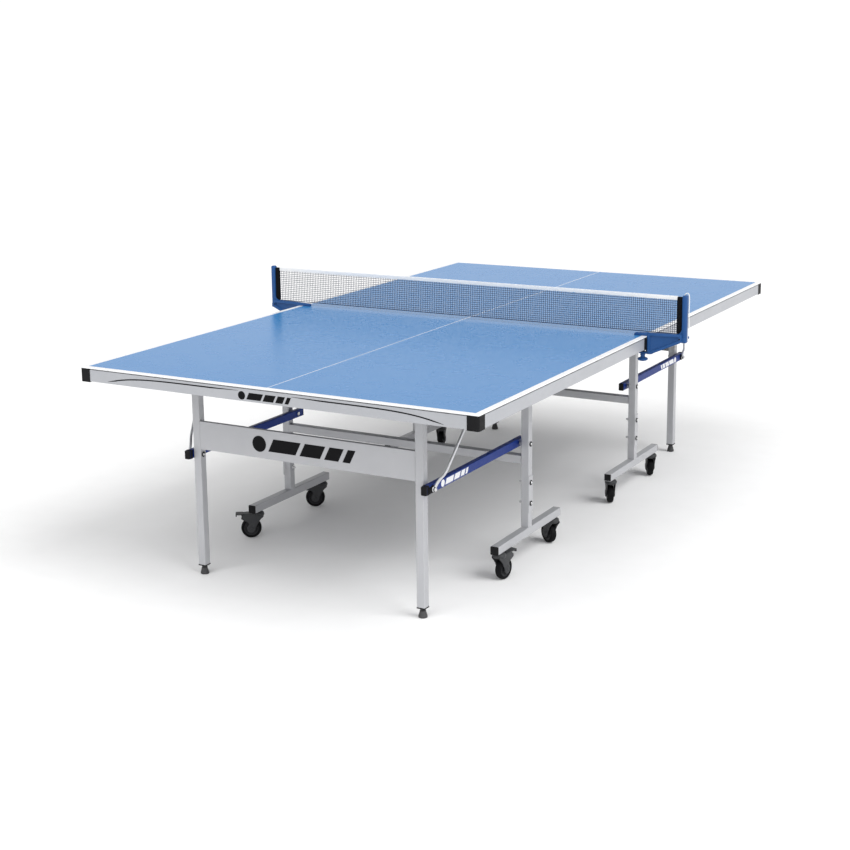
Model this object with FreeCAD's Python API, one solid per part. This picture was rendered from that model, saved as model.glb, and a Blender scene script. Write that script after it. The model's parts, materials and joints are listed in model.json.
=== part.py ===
"""Roll-away table tennis table in two folding halves, with a clamp-on net.

Millimetres. +X runs across the width, along the net. +Y runs along the length and
+Z is up. The origin is on the floor, under the middle of the net. The near half lies
at -Y and the far half is the near half turned half a turn about Z. Each half is a
four-bar linkage: tabletop, end legs, side bars and the trolley's posts.
"""
import FreeCAD
import Part
import math
import os

V = FreeCAD.Vector
X_AXIS = V(1, 0, 0)
Y_AXIS = V(0, 1, 0)
Z_AXIS = V(0, 0, 1)

# ---- tabletop ----
table_width = 1525.0
half_length = 1370.0
table_height = 760.0
board_thick = 4.0
board_gap = 0.5            # each board stops this far short of the seam plane
board_corner_radius = 4.0
spacer_height = 3.5        # shadow groove between board and edge frame
spacer_inset = 6.5
spacer_width = 10.0
apron_height = 41.0
apron_inset = 1.5
apron_wall = 1.5
apron_flange = 20.0
seam_recess = 6.0          # edge frame stands back from the seam, so a half folds alone
cap_size = 40.0
cap_wall = 3.0
cap_drop = 2.5

# ---- linkage ----
post_y = 505.0
leg_y = 1144.0
top_pivot_z = 690.0
link_pivot_z = 437.5
running_gap = 0.05
side_gap = 0.2

# ---- tubes ----
tube = 30.0
wall = 1.5
tube_corner = 3.0

# ---- end legs ----
leg_x = 441.0
leg_bottom_z = 33.0
pivot_overhang = 15.0
panel_low_z = 459.0
panel_high_z = 558.0
panel_inset = 1.0
panel_depth = 15.0
insert_height = 30.0
leveller_foot_r = 15.0
leveller_neck_r = 10.5
leveller_neck_z = 24.0
leveller_rim = 4.0
leveller_stem_r = 5.0
leveller_top_z = 61.0

# ---- side bars ----
bar_inner_x = 459.0
bar_width = 20.0
bar_past_leg = 31.0
bar_past_post = 35.0
bar_cap_thick = 3.0
bar_outer_cap_thick = 5.0
plug_length = 15.0

# ---- trolley ----
post_x = 507.0
foot_low_z = 103.0
foot_inner_y = 245.0
foot_outer_y = 757.0
foot_cap_thick = 3.0
splice_z = 253.0
splice_low_z = 190.0
splice_high_z = 322.0
splice_return = 9.0
splice_bolt_z = (221.0, 297.0)
cross_bar_z = 380.0

# ---- under the board ----
rail_x = 476.0
rail_size = 25.0
rail_wall = 1.5
bracket_plate = 4.0
bracket_base = 4.0
bracket_length = 40.0
bracket_drop = 14.0
bracket_clearance = 2.0    # between a tube and each plate of its bracket
stay_track_x = 550.0
stay_track_gap = 16.0
stay_track_wall = 2.0
stay_track_low_z = 716.0
stay_track_outer_y = 985.0
stay_track_inner_y = 530.0
stay_notch_z = 727.0       # the folded rod lies across the track's inner wall here
stay_notch_outer_y = 660.0

# ---- stay rods ----
stay_radius = 4.0
stay_eye_x = 484.0
stay_eye_thick = 4.0
stay_eye_r = 11.0
stay_roller_r = 7.0
stay_roller_width = 13.0
stay_roller_y = 946.5
stay_roller_z = 722.0

# ---- bolts ----
bolt_r = 4.0
top_pin_r = 5.0
bolt_head_r = 7.0
bolt_head = 4.5
washer_r = 9.0
washer = 2.5

# ---- casters ----
caster_outer_y = 722.0
caster_inner_y = 280.0
caster_trail = 26.0
wheel_r = 38.5
tyre_half_width = 12.0
tyre_round = 4.0
rim_r = 25.0
web_half_width = 8.0
boss_r = 10.0
boss_half_width = 13.5
axle_r = 4.0
axle_head_r = 6.8
axle_head = 1.5
fork_hub_r = 13.5
fork_inner = 14.5
fork_plate = 3.5
fork_front = -26.0
housing_round = 5.0
fork_back = 34.0
fork_low_z = 85.0
fork_top_z = 97.0
race_r = 23.0
race_top_z = 102.5
stem_r = 5.0
stem_top_z = 124.0
pedal_pivot_u = 30.0
pedal_pivot_z = 91.0
pedal_hub_r = 5.5
pedal_pin_r = 2.0
pedal_half_width = 13.0
pedal_thick = 4.0
pedal_hook = 6.0
pedal_tip_u = 84.0

# ---- net set ----
net_y = -5.0
net_thick = 2.4
net_low_z = 772.0
net_high_z = 912.5
sleeve_inner_x = 868.0
sleeve_thick = 12.0
net_post_inner_x = 886.0
net_post_outer_x = 908.0
net_post_depth = 22.0
net_post_low_z = 742.0
net_post_high_z = 917.0
clamp_front_y = -27.0
clamp_back_y = -8.0
jaw_reach_x = 713.0
jaw_gap = 0.3
jaw_thick = 11.0
lower_jaw_x = 731.0
lower_jaw_z = 693.0
lower_jaw_thick = 8.0
clamp_side_gap = 1.5
clamp_pocket = 3.0
screw_x = 745.0
screw_y = -17.5
screw_r = 5.0
screw_pad_r = 9.0
screw_pad = 3.0
knob_r = 19.0
cord_r = 1.5

# ---- worked out from the sizes above ----
half_width = table_width / 2
board_low_z = table_height - board_thick
apron_high_z = board_low_z - spacer_height
apron_low_z = apron_high_z - apron_height
half_tube = tube / 2
leg_top_z = top_pivot_z + pivot_overhang
bar_outer_x = bar_inner_x + bar_width
bar_mid_x = bar_inner_x + bar_width / 2
rail_low_z = board_low_z - rail_size
foot_high_z = foot_low_z + tube
foot_mid_z = foot_low_z + half_tube


# ---------------------------------------------------------------- shape helpers
def box(x0, x1, y0, y1, z0, z1):
    return Part.makeBox(x1 - x0, y1 - y0, z1 - z0, V(x0, y0, z0))


def pin_x(x0, x1, y, z, radius):
    return Part.makeCylinder(radius, x1 - x0, V(x0, y, z), X_AXIS)


def pin_y(y0, y1, x, z, radius):
    return Part.makeCylinder(radius, y1 - y0, V(x, y0, z), Y_AXIS)


def pin_z(z0, z1, x, y, radius):
    return Part.makeCylinder(radius, z1 - z0, V(x, y, z0), Z_AXIS)


def fuse(shapes):
    whole = shapes[0]
    for other in shapes[1:]:
        whole = whole.fuse(other)
    return whole.removeSplitter()


def bar_z(width, depth, low, high, radius):
    """A rectangular bar along Z about the origin, with rounded long edges."""
    block = box(-width / 2, width / 2, -depth / 2, depth / 2, low, high)
    long_edges = [e for e in block.Edges if abs(e.tangentAt(0).z) > 0.9]
    return block.makeFillet(radius, long_edges)


def tube_z(width, depth, low, high):
    """An open rectangular tube along Z about the origin."""
    outer = bar_z(width, depth, low, high, tube_corner)
    inner = bar_z(width - 2 * wall, depth - 2 * wall, low - 1, high + 1, tube_corner - wall)
    return outer.cut(inner)


def turned(shape, axis, degrees, move=V(0, 0, 0)):
    copy = shape.copy()
    copy.rotate(V(0, 0, 0), axis, degrees)
    copy.translate(move)
    return copy


def moved(shape, x, y, z=0.0):
    copy = shape.copy()
    copy.translate(V(x, y, z))
    return copy


def pair(shape):
    """The shape and its twin on the other side of the table."""
    return [shape, shape.mirror(V(0, 0, 0), X_AXIS)]


def route_wire(points, share=0.45):
    """Straight runs through the points, joined by tangent arcs."""
    edges = []
    start = points[0]
    for before, corner, after in zip(points, points[1:], points[2:]):
        into = corner - before
        out = after - corner
        shorter = min(into.Length, out.Length)
        into.normalize()
        out.normalize()
        turn = into.getAngle(out)
        step = share * shorter
        radius = step / math.tan(turn / 2)
        middle = corner + (out - into).normalize() * radius * (1 / math.cos(turn / 2) - 1)
        first = corner - into * step
        last = corner + out * step
        edges.append(Part.LineSegment(start, first).toShape())
        edges.append(Part.Arc(first, middle, last).toShape())
        start = last
    edges.append(Part.LineSegment(start, points[-1]).toShape())
    return Part.Wire(edges)


def round_rod(points, radius):
    path = route_wire(points)
    first = points[1] - points[0]
    ring = Part.Wire([Part.Circle(points[0], first, radius).toShape()])
    return path.makePipeShell([ring], True, True)


# ---------------------------------------------------------------- tabletop
def table_board():
    block = box(-half_width, half_width, -half_length, -board_gap, board_low_z, table_height)
    upright = [e for e in block.Edges if abs(e.tangentAt(0).z) > 0.9]
    return [block.makeFillet(board_corner_radius, upright)]


def apron_bar(length):
    """One side of the edge frame along Y, its outer face on x = 0, open inwards."""
    half = length / 2
    skin = box(-apron_wall, 0, -half, half, apron_low_z, apron_high_z)
    low = box(-apron_flange, 0, -half, half, apron_low_z, apron_low_z + apron_wall)
    high = box(-apron_flange, 0, -half, half, apron_high_z - apron_wall, apron_high_z)
    groove = spacer_inset - apron_inset
    spacer = box(-groove - spacer_width, -groove, -half, half, apron_high_z, board_low_z)
    return fuse([skin, low, high, spacer])


def edge_frame():
    side_length = half_length - seam_recess - 2 * cap_size
    middle_y = -(half_length + seam_recess) / 2
    end_length = table_width - 2 * cap_size
    side = moved(apron_bar(side_length), half_width - apron_inset, middle_y)
    outer_end = turned(apron_bar(end_length), Z_AXIS, -90, V(0, apron_inset - half_length, 0))
    seam_end = turned(apron_bar(end_length), Z_AXIS, 90, V(0, -seam_recess - apron_inset, 0))
    return pair(side) + [outer_end, seam_end]


def corner_cap(outer_y, inwards):
    """A shell around one corner: two outer walls and a floor."""
    far_y = outer_y + inwards * cap_size
    low_y, high_y = sorted((outer_y, far_y))
    floor_z = apron_low_z - cap_drop
    inner_x = half_width - cap_size
    block = box(inner_x, half_width, low_y, high_y, floor_z, board_low_z)
    corner = [e for e in block.Edges
              if abs(e.tangentAt(0).z) > 0.9
              and abs(e.CenterOfMass.x - half_width) < 1
              and abs(e.CenterOfMass.y - outer_y) < 1]
    block = block.makeFillet(2.5 * cap_wall, corner)
    hollow_low = low_y + cap_wall if inwards > 0 else low_y - 1
    hollow_high = high_y + 1 if inwards > 0 else high_y - cap_wall
    hollow = box(inner_x - 1, half_width - cap_wall, hollow_low, hollow_high,
                 floor_z + cap_wall, board_low_z + 1)
    return block.cut(hollow)


def corner_caps():
    return pair(corner_cap(-half_length, 1)) + pair(corner_cap(-seam_recess, -1))


def clevis(inner_x, outer_x, base_from_x, base_to_x, y):
    """Two plates hung from a base plate under the rail, drilled by the caller."""
    half = bracket_length / 2
    low = top_pivot_z - bracket_drop
    base_low = rail_low_z - bracket_base
    inner = box(inner_x - bracket_plate, inner_x, y - half, y + half, low, base_low)
    outer = box(outer_x, outer_x + bracket_plate, y - half, y + half, low, base_low)
    base = box(base_from_x, base_to_x, y - half, y + half, base_low, rail_low_z)
    return fuse([inner, outer, base])


def pivot_pin(inner_x, outer_x, y, radius):
    shank = pin_x(inner_x, outer_x, y, top_pivot_z, radius)
    head = pin_x(inner_x - bolt_head, inner_x, y, top_pivot_z, radius + 3)
    nut = pin_x(outer_x, outer_x + bolt_head, y, top_pivot_z, radius + 3)
    return fuse([shank, head, nut])


def under_frame():
    """Rails, hinge brackets with their pins, and the tracks of the stay rods."""
    flange_clear = apron_inset + apron_flange
    inner_size = rail_size - 2 * rail_wall
    rail_length = half_length - seam_recess - 2 * flange_clear
    rail = bar_z(rail_size, rail_size, 0, rail_length, tube_corner)
    rail = rail.cut(bar_z(inner_size, inner_size, -1, rail_length + 1, tube_corner - rail_wall))
    rail = turned(rail, X_AXIS, 90, V(rail_x, -seam_recess - flange_clear, rail_low_z + rail_size / 2))
    gap = half_tube + bracket_clearance
    post_in = post_x - gap
    post_out = post_x + gap
    post_clevis = clevis(post_in, post_out, rail_x - rail_size / 2, post_out + bracket_plate, -post_y)
    post_clevis = post_clevis.cut(pin_x(post_in - 10, post_out + 10, -post_y, top_pivot_z, top_pin_r))
    leg_in = leg_x - gap + side_gap
    leg_out = leg_x + gap - side_gap
    leg_clevis = clevis(leg_in, leg_out, leg_in - bracket_plate, rail_x + rail_size / 2, -leg_y)
    leg_clevis = leg_clevis.cut(pin_x(leg_in - 10, leg_out + 10, -leg_y, top_pivot_z, bolt_r))
    post_pin = pivot_pin(post_in - bracket_plate, post_out + bracket_plate, -post_y, top_pin_r)
    leg_pin = pivot_pin(leg_in - bracket_plate, leg_out + bracket_plate, -leg_y, bolt_r)
    track_half = stay_track_gap / 2 + stay_track_wall
    track = box(stay_track_x - track_half, stay_track_x + track_half,
                -stay_track_outer_y, -stay_track_inner_y, stay_track_low_z, board_low_z)
    slot = box(stay_track_x - stay_track_gap / 2, stay_track_x + stay_track_gap / 2,
               -stay_track_outer_y - 1, -stay_track_inner_y + 1,
               stay_track_low_z - 1, board_low_z - stay_track_wall)
    notch = box(stay_track_x - track_half - 1, stay_track_x, -stay_notch_outer_y,
                -stay_track_inner_y + 1, stay_track_low_z - 1, stay_notch_z)
    track = track.cut(slot).cut(notch)
    pieces = []
    for shape in (rail, post_clevis, leg_clevis, post_pin, leg_pin, track):
        pieces += pair(shape)
    return pieces


# ---------------------------------------------------------------- end legs
def leg_tubes():
    leg = moved(tube_z(tube, tube, leg_bottom_z, leg_top_z), leg_x, -leg_y)
    inner = tube - 2 * wall
    insert = moved(bar_z(inner, inner, leg_bottom_z, leg_bottom_z + insert_height,
                         tube_corner - wall), leg_x, -leg_y)
    leg = leg.fuse(insert)
    clear_x = (leg_x - tube, leg_x + tube)
    leg = leg.cut(pin_x(*clear_x, -leg_y, top_pivot_z, bolt_r + running_gap))
    leg = leg.cut(pin_x(*clear_x, -leg_y, link_pivot_z, bolt_r))
    leg = leg.cut(pin_z(0, leg_bottom_z + insert_height + 1, leg_x, -leg_y,
                        leveller_stem_r + running_gap))
    return pair(leg)


def leg_panel():
    """Folded sheet between the two legs, open towards the net."""
    reach = leg_x - half_tube
    face_y = -leg_y - half_tube + panel_inset
    skin = box(-reach, reach, face_y, face_y + wall, panel_low_z, panel_high_z)
    low = box(-reach, reach, face_y, face_y + panel_depth, panel_low_z, panel_low_z + wall)
    high = box(-reach, reach, face_y, face_y + panel_depth, panel_high_z - wall, panel_high_z)
    return [fuse([skin, low, high])]


def leg_pivots():
    """Bolts that join leg, side bar and stay rod."""
    y = -leg_y
    z = link_pivot_z
    inner_x = leg_x - half_tube
    leg_outer = leg_x + half_tube
    shank = pin_x(inner_x, stay_eye_x + stay_eye_thick + 3, y, z, bolt_r)
    head_washer = pin_x(inner_x - washer, inner_x, y, z, washer_r)
    head = pin_x(inner_x - washer - bolt_head, inner_x - washer, y, z, bolt_head_r)
    inner_spacer = pin_x(leg_outer, bar_inner_x - side_gap, y, z, washer_r)
    outer_spacer = pin_x(bar_outer_x + side_gap, stay_eye_x - side_gap, y, z, washer_r)
    nut_x = stay_eye_x + stay_eye_thick + side_gap
    nut = pin_x(nut_x, nut_x + bolt_head + washer, y, z, bolt_head_r)
    return pair(fuse([shank, head_washer, head, inner_spacer, outer_spacer, nut]))


def leveller(side):
    """Screw foot under one leg. side is +1 on the right and -1 on the left."""
    rim = pin_z(0, leveller_rim, 0, 0, leveller_foot_r)
    cone = Part.makeCone(leveller_foot_r, leveller_neck_r, leveller_neck_z - leveller_rim,
                         V(0, 0, leveller_rim), Z_AXIS)
    stem = pin_z(leveller_neck_z, leveller_top_z, 0, 0, leveller_stem_r)
    return [moved(fuse([rim, cone, stem]), side * leg_x, -leg_y)]


# ---------------------------------------------------------------- side bars and stays
def side_bars():
    length = leg_y - post_y + bar_past_leg + bar_past_post
    bar = tube_z(bar_width, tube, 0, length)
    bar = turned(bar, X_AXIS, 90, V(bar_mid_x, -post_y + bar_past_post, link_pivot_z))
    for y in (-post_y, -leg_y):
        bar = bar.cut(pin_x(bar_inner_x - 1, bar_outer_x + 1, y, link_pivot_z, bolt_r + running_gap))
    return pair(bar)


def bar_cap(thick):
    """Plastic cap with a plug. It faces +Y with its flange starting at y = 0."""
    flange = turned(bar_z(bar_width, tube, 0, thick, tube_corner), X_AXIS, -90)
    plug = turned(bar_z(bar_width - 2 * wall, tube - 2 * wall, -plug_length, 0,
                        tube_corner - wall), X_AXIS, -90)
    return fuse([flange, plug])


def side_bar_caps():
    inner = moved(bar_cap(bar_cap_thick), bar_mid_x, -post_y + bar_past_post, link_pivot_z)
    outer = turned(bar_cap(bar_outer_cap_thick), Z_AXIS, 180,
                   V(bar_mid_x, -leg_y - bar_past_leg, link_pivot_z))
    return pair(inner) + pair(outer)


def stay_rods():
    """Rods from the leg pivots up to rollers in the tracks under the board."""
    eye = pin_x(stay_eye_x, stay_eye_x + stay_eye_thick, -leg_y, link_pivot_z, stay_eye_r)
    eye = eye.cut(pin_x(stay_eye_x - 1, stay_eye_x + stay_eye_thick + 1, -leg_y, link_pivot_z,
                        bolt_r + running_gap))
    start_x = stay_eye_x + stay_eye_thick
    route = [V(start_x, -leg_y + 5.2, link_pivot_z + 7.3),
             V(start_x + 5, -leg_y + 17, link_pivot_z + 24),
             V(start_x + 20, -leg_y + 38, link_pivot_z + 45),
             V(stay_track_x, -stay_roller_y, stay_roller_z)]
    rod = round_rod(route, stay_radius)
    half = stay_roller_width / 2
    roller = pin_x(stay_track_x - half, stay_track_x + half, -stay_roller_y, stay_roller_z,
                   stay_roller_r)
    return pair(fuse([eye, rod, roller]))


# ---------------------------------------------------------------- trolley
def upper_posts():
    """Post tubes with the channel that wraps each one's lower joint."""
    post = moved(tube_z(tube, tube, splice_z, leg_top_z), post_x, -post_y)
    post = post.cut(pin_x(post_x - tube, post_x + tube, -post_y, top_pivot_z,
                          top_pin_r + running_gap))
    outer_x = post_x + half_tube
    half = half_tube + wall
    channel = box(outer_x - splice_return, outer_x + wall, -post_y - half, -post_y + half,
                  splice_low_z, splice_high_z)
    channel = channel.cut(box(outer_x - 2 * splice_return, outer_x, -post_y - half_tube,
                              -post_y + half_tube, splice_low_z - 1, splice_high_z + 1))
    post = post.cut(pin_x(post_x - tube, post_x + tube, -post_y, link_pivot_z, bolt_r))
    for z in splice_bolt_z:
        hole = pin_x(post_x - tube, post_x + tube, -post_y, z, bolt_r)
        post = post.cut(hole)
        channel = channel.cut(hole)
    return pair(post) + pair(channel)


def foot_frames():
    """Welded T pieces: a lower post on a foot bar that carries two casters."""
    length = foot_outer_y - foot_inner_y
    bar = turned(tube_z(tube, tube, 0, length), X_AXIS, 90, V(post_x, -foot_inner_y, foot_mid_z))
    post = moved(tube_z(tube, tube, foot_high_z, splice_z), post_x, -post_y)
    frame = fuse([bar, post])
    for y in (caster_outer_y, caster_inner_y):
        frame = frame.cut(pin_z(foot_low_z - 1, foot_mid_z, post_x, -y, stem_r + running_gap))
    frame = frame.cut(pin_x(post_x - tube, post_x + tube, -post_y, splice_bolt_z[0], bolt_r))
    return pair(frame)


def cross_bar():
    reach = post_x - half_tube
    bar = turned(tube_z(tube, tube, -reach, reach), Y_AXIS, 90, V(0, -post_y, cross_bar_z))
    return [bar]


def foot_caps():
    inner_size = tube - 2 * wall
    plug = turned(bar_z(inner_size, inner_size, 0, plug_length, tube_corner - wall), X_AXIS, 90)
    flange = turned(bar_z(tube, tube, -foot_cap_thick, 0, tube_corner), X_AXIS, -90)
    inner = moved(plug, post_x, -foot_inner_y, foot_mid_z)
    outer_plug = moved(plug, post_x, -foot_outer_y + plug_length, foot_mid_z)
    outer = fuse([moved(flange, post_x, -foot_outer_y, foot_mid_z), outer_plug])
    return pair(inner) + pair(outer)


def trolley_bolts():
    """Link pivot bolts through the posts, and the two bolts of each post joint."""
    outer_x = post_x + half_tube
    inner_x = post_x - half_tube
    z = link_pivot_z
    pivot = fuse([pin_x(bar_inner_x - side_gap, outer_x + washer, -post_y, z, bolt_r),
                  pin_x(bar_inner_x - side_gap - bolt_head, bar_inner_x - side_gap,
                        -post_y, z, bolt_head_r),
                  pin_x(bar_outer_x + side_gap, inner_x, -post_y, z, washer_r),
                  pin_x(outer_x, outer_x + washer, -post_y, z, washer_r),
                  pin_x(outer_x + washer, outer_x + washer + bolt_head / 2, -post_y, z, bolt_head_r)])
    pieces = pair(pivot)
    for z in splice_bolt_z:
        face_x = outer_x + wall
        bolt = fuse([pin_x(inner_x - 3 * bolt_head, face_x + washer, -post_y, z, bolt_r),
                     pin_x(inner_x - bolt_head, inner_x, -post_y, z, bolt_head_r),
                     pin_x(face_x, face_x + washer, -post_y, z, washer_r),
                     pin_x(face_x + washer, face_x + washer + bolt_head / 2, -post_y, z, bolt_head_r)])
        pieces += pair(bolt)
    return pieces


# ---------------------------------------------------------------- casters
def side_plate(low_v, braked):
    """One cheek of the fork, from v = low_v outwards, in the trail plane."""
    top = fork_top_z - 1 if braked else fork_low_z + 7
    back = fork_back + 18 if braked else fork_back
    corners = [(fork_front + 8, top), (back, top), (back + 4, top - 9), (back - 4, top - 19),
               (caster_trail + fork_hub_r, wheel_r + 6), (caster_trail - fork_hub_r + 1, wheel_r - 3),
               (caster_trail - 17, wheel_r + 25), (fork_front + 8, fork_low_z - 3)]
    points = [V(u, low_v, z) for u, z in corners]
    face = Part.Face(Part.makePolygon(points + points[:1]))
    cheek = face.extrude(V(0, fork_plate, 0))
    hub = pin_y(low_v, low_v + fork_plate, caster_trail, wheel_r, fork_hub_r)
    return fuse([cheek, hub])


def fork(braked):
    """Swivel fork about the kingpin, its wheel trailing towards +X."""
    outer_v = fork_inner + fork_plate
    back = pedal_pivot_u - 9 if braked else fork_back
    crown = box(0, back, -outer_v, outer_v, fork_low_z, fork_low_z + 5)
    housing = pin_z(fork_low_z - 4, race_top_z, 0, 0, race_r)
    rims = [e for e in housing.Edges if e.Closed]
    housing = housing.makeFillet(housing_round, rims)
    pieces = [crown, housing, side_plate(fork_inner, braked), side_plate(-outer_v, braked)]
    pieces.append(pin_z(race_top_z - 1, stem_top_z, 0, 0, stem_r))
    pieces.append(pin_y(-outer_v - axle_head, outer_v + axle_head, caster_trail, wheel_r, axle_r))
    for low in (-outer_v - axle_head, outer_v):
        pieces.append(pin_y(low, low + axle_head, caster_trail, wheel_r, axle_head_r))
    if braked:
        pieces.append(pin_y(-outer_v, outer_v, pedal_pivot_u, pedal_pivot_z, pedal_pin_r))
    return fuse(pieces)


def caster_wheel():
    """Tyre, web and boss turned about the axle, along Y at the kingpin's foot."""
    w = tyre_half_width
    profile = [(axle_r + running_gap, boss_half_width), (boss_r, boss_half_width),
               (boss_r + 1, web_half_width), (rim_r - 1, web_half_width), (rim_r, w - 1),
               (wheel_r - tyre_round, w), (wheel_r - 1, w - 0.6 * tyre_round), (wheel_r, 0)]
    mirrored = [(r, -v) for r, v in reversed(profile[:-1])]
    points = [V(r, v, 0) for r, v in profile + mirrored]
    face = Part.Face(Part.makePolygon(points + points[:1]))
    wheel = face.revolve(V(0, 0, 0), Y_AXIS, 360)
    return moved(wheel, caster_trail, 0, wheel_r)


def brake_pedal():
    """Foot lever between the fork's cheeks, with a hooked tip past the wheel."""
    high = pedal_pivot_z + pedal_hub_r
    low = high - pedal_thick
    clear_u = fork_back + 24
    hub = pin_y(-pedal_half_width, pedal_half_width, pedal_pivot_u, pedal_pivot_z, pedal_hub_r)
    blade = box(pedal_pivot_u, clear_u, -pedal_half_width, pedal_half_width, low, high)
    tip = box(clear_u, pedal_tip_u, -pedal_half_width - 3, pedal_half_width + 3, low, high)
    lip = box(pedal_tip_u - pedal_thick, pedal_tip_u, -pedal_half_width - 3, pedal_half_width + 3,
              low - pedal_hook, low)
    pedal = fuse([hub, blade, tip, lip])
    return pedal.cut(pin_y(-20, 20, pedal_pivot_u, pedal_pivot_z, pedal_pin_r + running_gap))


def caster_places():
    """Kingpin places, with the heading each wheel trails towards and its brake."""
    return {
        "near_right_outer": (post_x, -caster_outer_y, 82.0, True),
        "near_right_inner": (post_x, -caster_inner_y, 147.0, False),
        "near_left_outer": (-post_x, -caster_outer_y, -145.0, True),
        "near_left_inner": (-post_x, -caster_inner_y, -146.0, False),
        "far_right_inner": (post_x, caster_inner_y, 119.0, False),
        "far_right_outer": (post_x, caster_outer_y, 119.0, True),
        "far_left_inner": (-post_x, caster_inner_y, 60.0, False),
        "far_left_outer": (-post_x, caster_outer_y, 110.0, True),
    }


# ---------------------------------------------------------------- net set
def net_cloth():
    """Net with its tape as one thin slab, and a sleeve along each end."""
    half = net_thick / 2
    cloth = box(-sleeve_inner_x, sleeve_inner_x, net_y - half, net_y + half, net_low_z, net_high_z)
    sleeve = bar_z(net_post_inner_x - sleeve_inner_x - side_gap, sleeve_thick,
                   net_low_z + 1, net_high_z - 1, 5.0)
    middle_x = (sleeve_inner_x + net_post_inner_x) / 2
    return [cloth] + pair(moved(sleeve, middle_x, net_y))


def net_clamp():
    """Clamp bracket with its jaws, arm and net post, on the right side."""
    high = table_height + jaw_gap + jaw_thick
    grip_x = half_width + clamp_side_gap
    jaw_low = table_height + jaw_gap
    lower_high = lower_jaw_z + lower_jaw_thick
    outline = [(jaw_reach_x, jaw_low), (jaw_reach_x, high), (net_post_inner_x + 4, high),
               (net_post_inner_x + 4, net_post_low_z + 4), (grip_x + 22, lower_jaw_z + 4),
               (grip_x + 14, lower_jaw_z), (lower_jaw_x, lower_jaw_z), (lower_jaw_x, lower_high),
               (grip_x, lower_high), (grip_x, jaw_low)]
    points = [V(x, clamp_front_y, z) for x, z in outline]
    body = Part.Face(Part.makePolygon(points + points[:1])).extrude(
        V(0, clamp_back_y - clamp_front_y, 0))
    pocket_outline = [(grip_x + 10, high - 12), (net_post_inner_x - 10, high - 12),
                      (net_post_inner_x - 10, net_post_low_z + 6), (grip_x + 24, lower_jaw_z + 15),
                      (grip_x + 10, lower_jaw_z + 11)]
    pocket_points = [V(x, clamp_front_y - 1, z) for x, z in pocket_outline]
    pocket = Part.Face(Part.makePolygon(pocket_points + pocket_points[:1])).extrude(
        V(0, clamp_pocket + 1, 0))
    body = body.cut(pocket)
    body = body.cut(pin_z(lower_jaw_z - 1, lower_high + 1, screw_x, screw_y, screw_r + running_gap))
    width = net_post_outer_x - net_post_inner_x
    post = bar_z(width, net_post_depth, net_post_low_z, net_post_high_z, 5.0)
    top_edges = [e for e in post.Edges if abs(e.CenterOfMass.z - net_post_high_z) < 0.01]
    post = post.makeFillet(3.5, top_edges)
    post = moved(post, net_post_inner_x + width / 2, net_y)
    return fuse([body, post])


def clamp_screw():
    """Thumb screw with a pad that presses up under the corner cap."""
    pad_high = apron_low_z - cap_drop - jaw_gap
    pad = pin_z(pad_high - screw_pad, pad_high, screw_x, screw_y, screw_pad_r)
    stem = pin_z(lower_jaw_z - 10, pad_high - screw_pad, screw_x, screw_y, screw_r)
    dome_low = lower_jaw_z - 28
    dome = Part.makeCone(0.6 * knob_r, knob_r, 8, V(screw_x, screw_y, dome_low), Z_AXIS)
    rim = pin_z(dome_low + 8, dome_low + 14, screw_x, screw_y, knob_r)
    neck = Part.makeCone(knob_r, 0.55 * knob_r, 6, V(screw_x, screw_y, dome_low + 14), Z_AXIS)
    return fuse([pad, stem, dome, rim, neck])


def net_cord_route():
    """Spare end of the net's tension cord, over the right post and down its side."""
    top = net_post_high_z
    side = net_post_outer_x
    return [V(side - 12, net_y, top + 0.2), V(side - 8, net_y, top + 8), V(side + 1, net_y, top + 9),
            V(side + 5.5, net_y - 1, top), V(side + 6.5, net_y - 1, top - 18),
            V(side + 6, net_y - 3, top - 48), V(side + 7.5, net_y - 4, top - 84),
            V(side + 9.5, net_y - 7, top - 118), V(side + 9, net_y - 9, top - 148)]


# ---------------------------------------------------------------- writing
def far_half(shapes):
    return [turned(shape, Z_AXIS, 180) for shape in shapes]


def write(name, shapes):
    Part.makeCompound(shapes).exportStep("parts/%s.step" % name)


HALF_NODES = {
    "table_board": table_board,
    "edge_frame": edge_frame,
    "corner_caps": corner_caps,
    "under_frame": under_frame,
    "leg_tubes": leg_tubes,
    "leg_panel": leg_panel,
    "leg_pivots": leg_pivots,
    "side_bars": side_bars,
    "side_bar_caps": side_bar_caps,
    "stay_rods": stay_rods,
    "upper_posts": upper_posts,
    "foot_frames": foot_frames,
    "cross_bar": cross_bar,
    "foot_caps": foot_caps,
    "trolley_bolts": trolley_bolts,
}


def main():
    os.makedirs("parts", exist_ok=True)
    for name, make in HALF_NODES.items():
        shapes = make()
        write("near_" + name, shapes)
        write("far_" + name, far_half(shapes))
    right_foot = leveller(1)
    left_foot = leveller(-1)
    write("near_right_leveller", right_foot)
    write("near_left_leveller", left_foot)
    write("far_left_leveller", far_half(right_foot))
    write("far_right_leveller", far_half(left_foot))
    wheel = caster_wheel()
    pedal = brake_pedal()
    for name, (x, y, heading, braked) in caster_places().items():
        place = V(x, y, 0)
        write(name + "_fork", [turned(fork(braked), Z_AXIS, heading, place)])
        write(name + "_wheel", [turned(wheel, Z_AXIS, heading, place)])
        if braked:
            write(name + "_pedal", [turned(pedal, Z_AXIS, heading, place)])
    write("net", net_cloth())
    right_clamp, left_clamp = pair(net_clamp())
    right_screw, left_screw = pair(clamp_screw())
    write("right_net_clamp", [right_clamp])
    write("left_net_clamp", [left_clamp])
    write("right_clamp_screw", [right_screw])
    write("left_clamp_screw", [left_screw])
    write("net_cord", [round_rod(net_cord_route(), cord_r)])


main()
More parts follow.
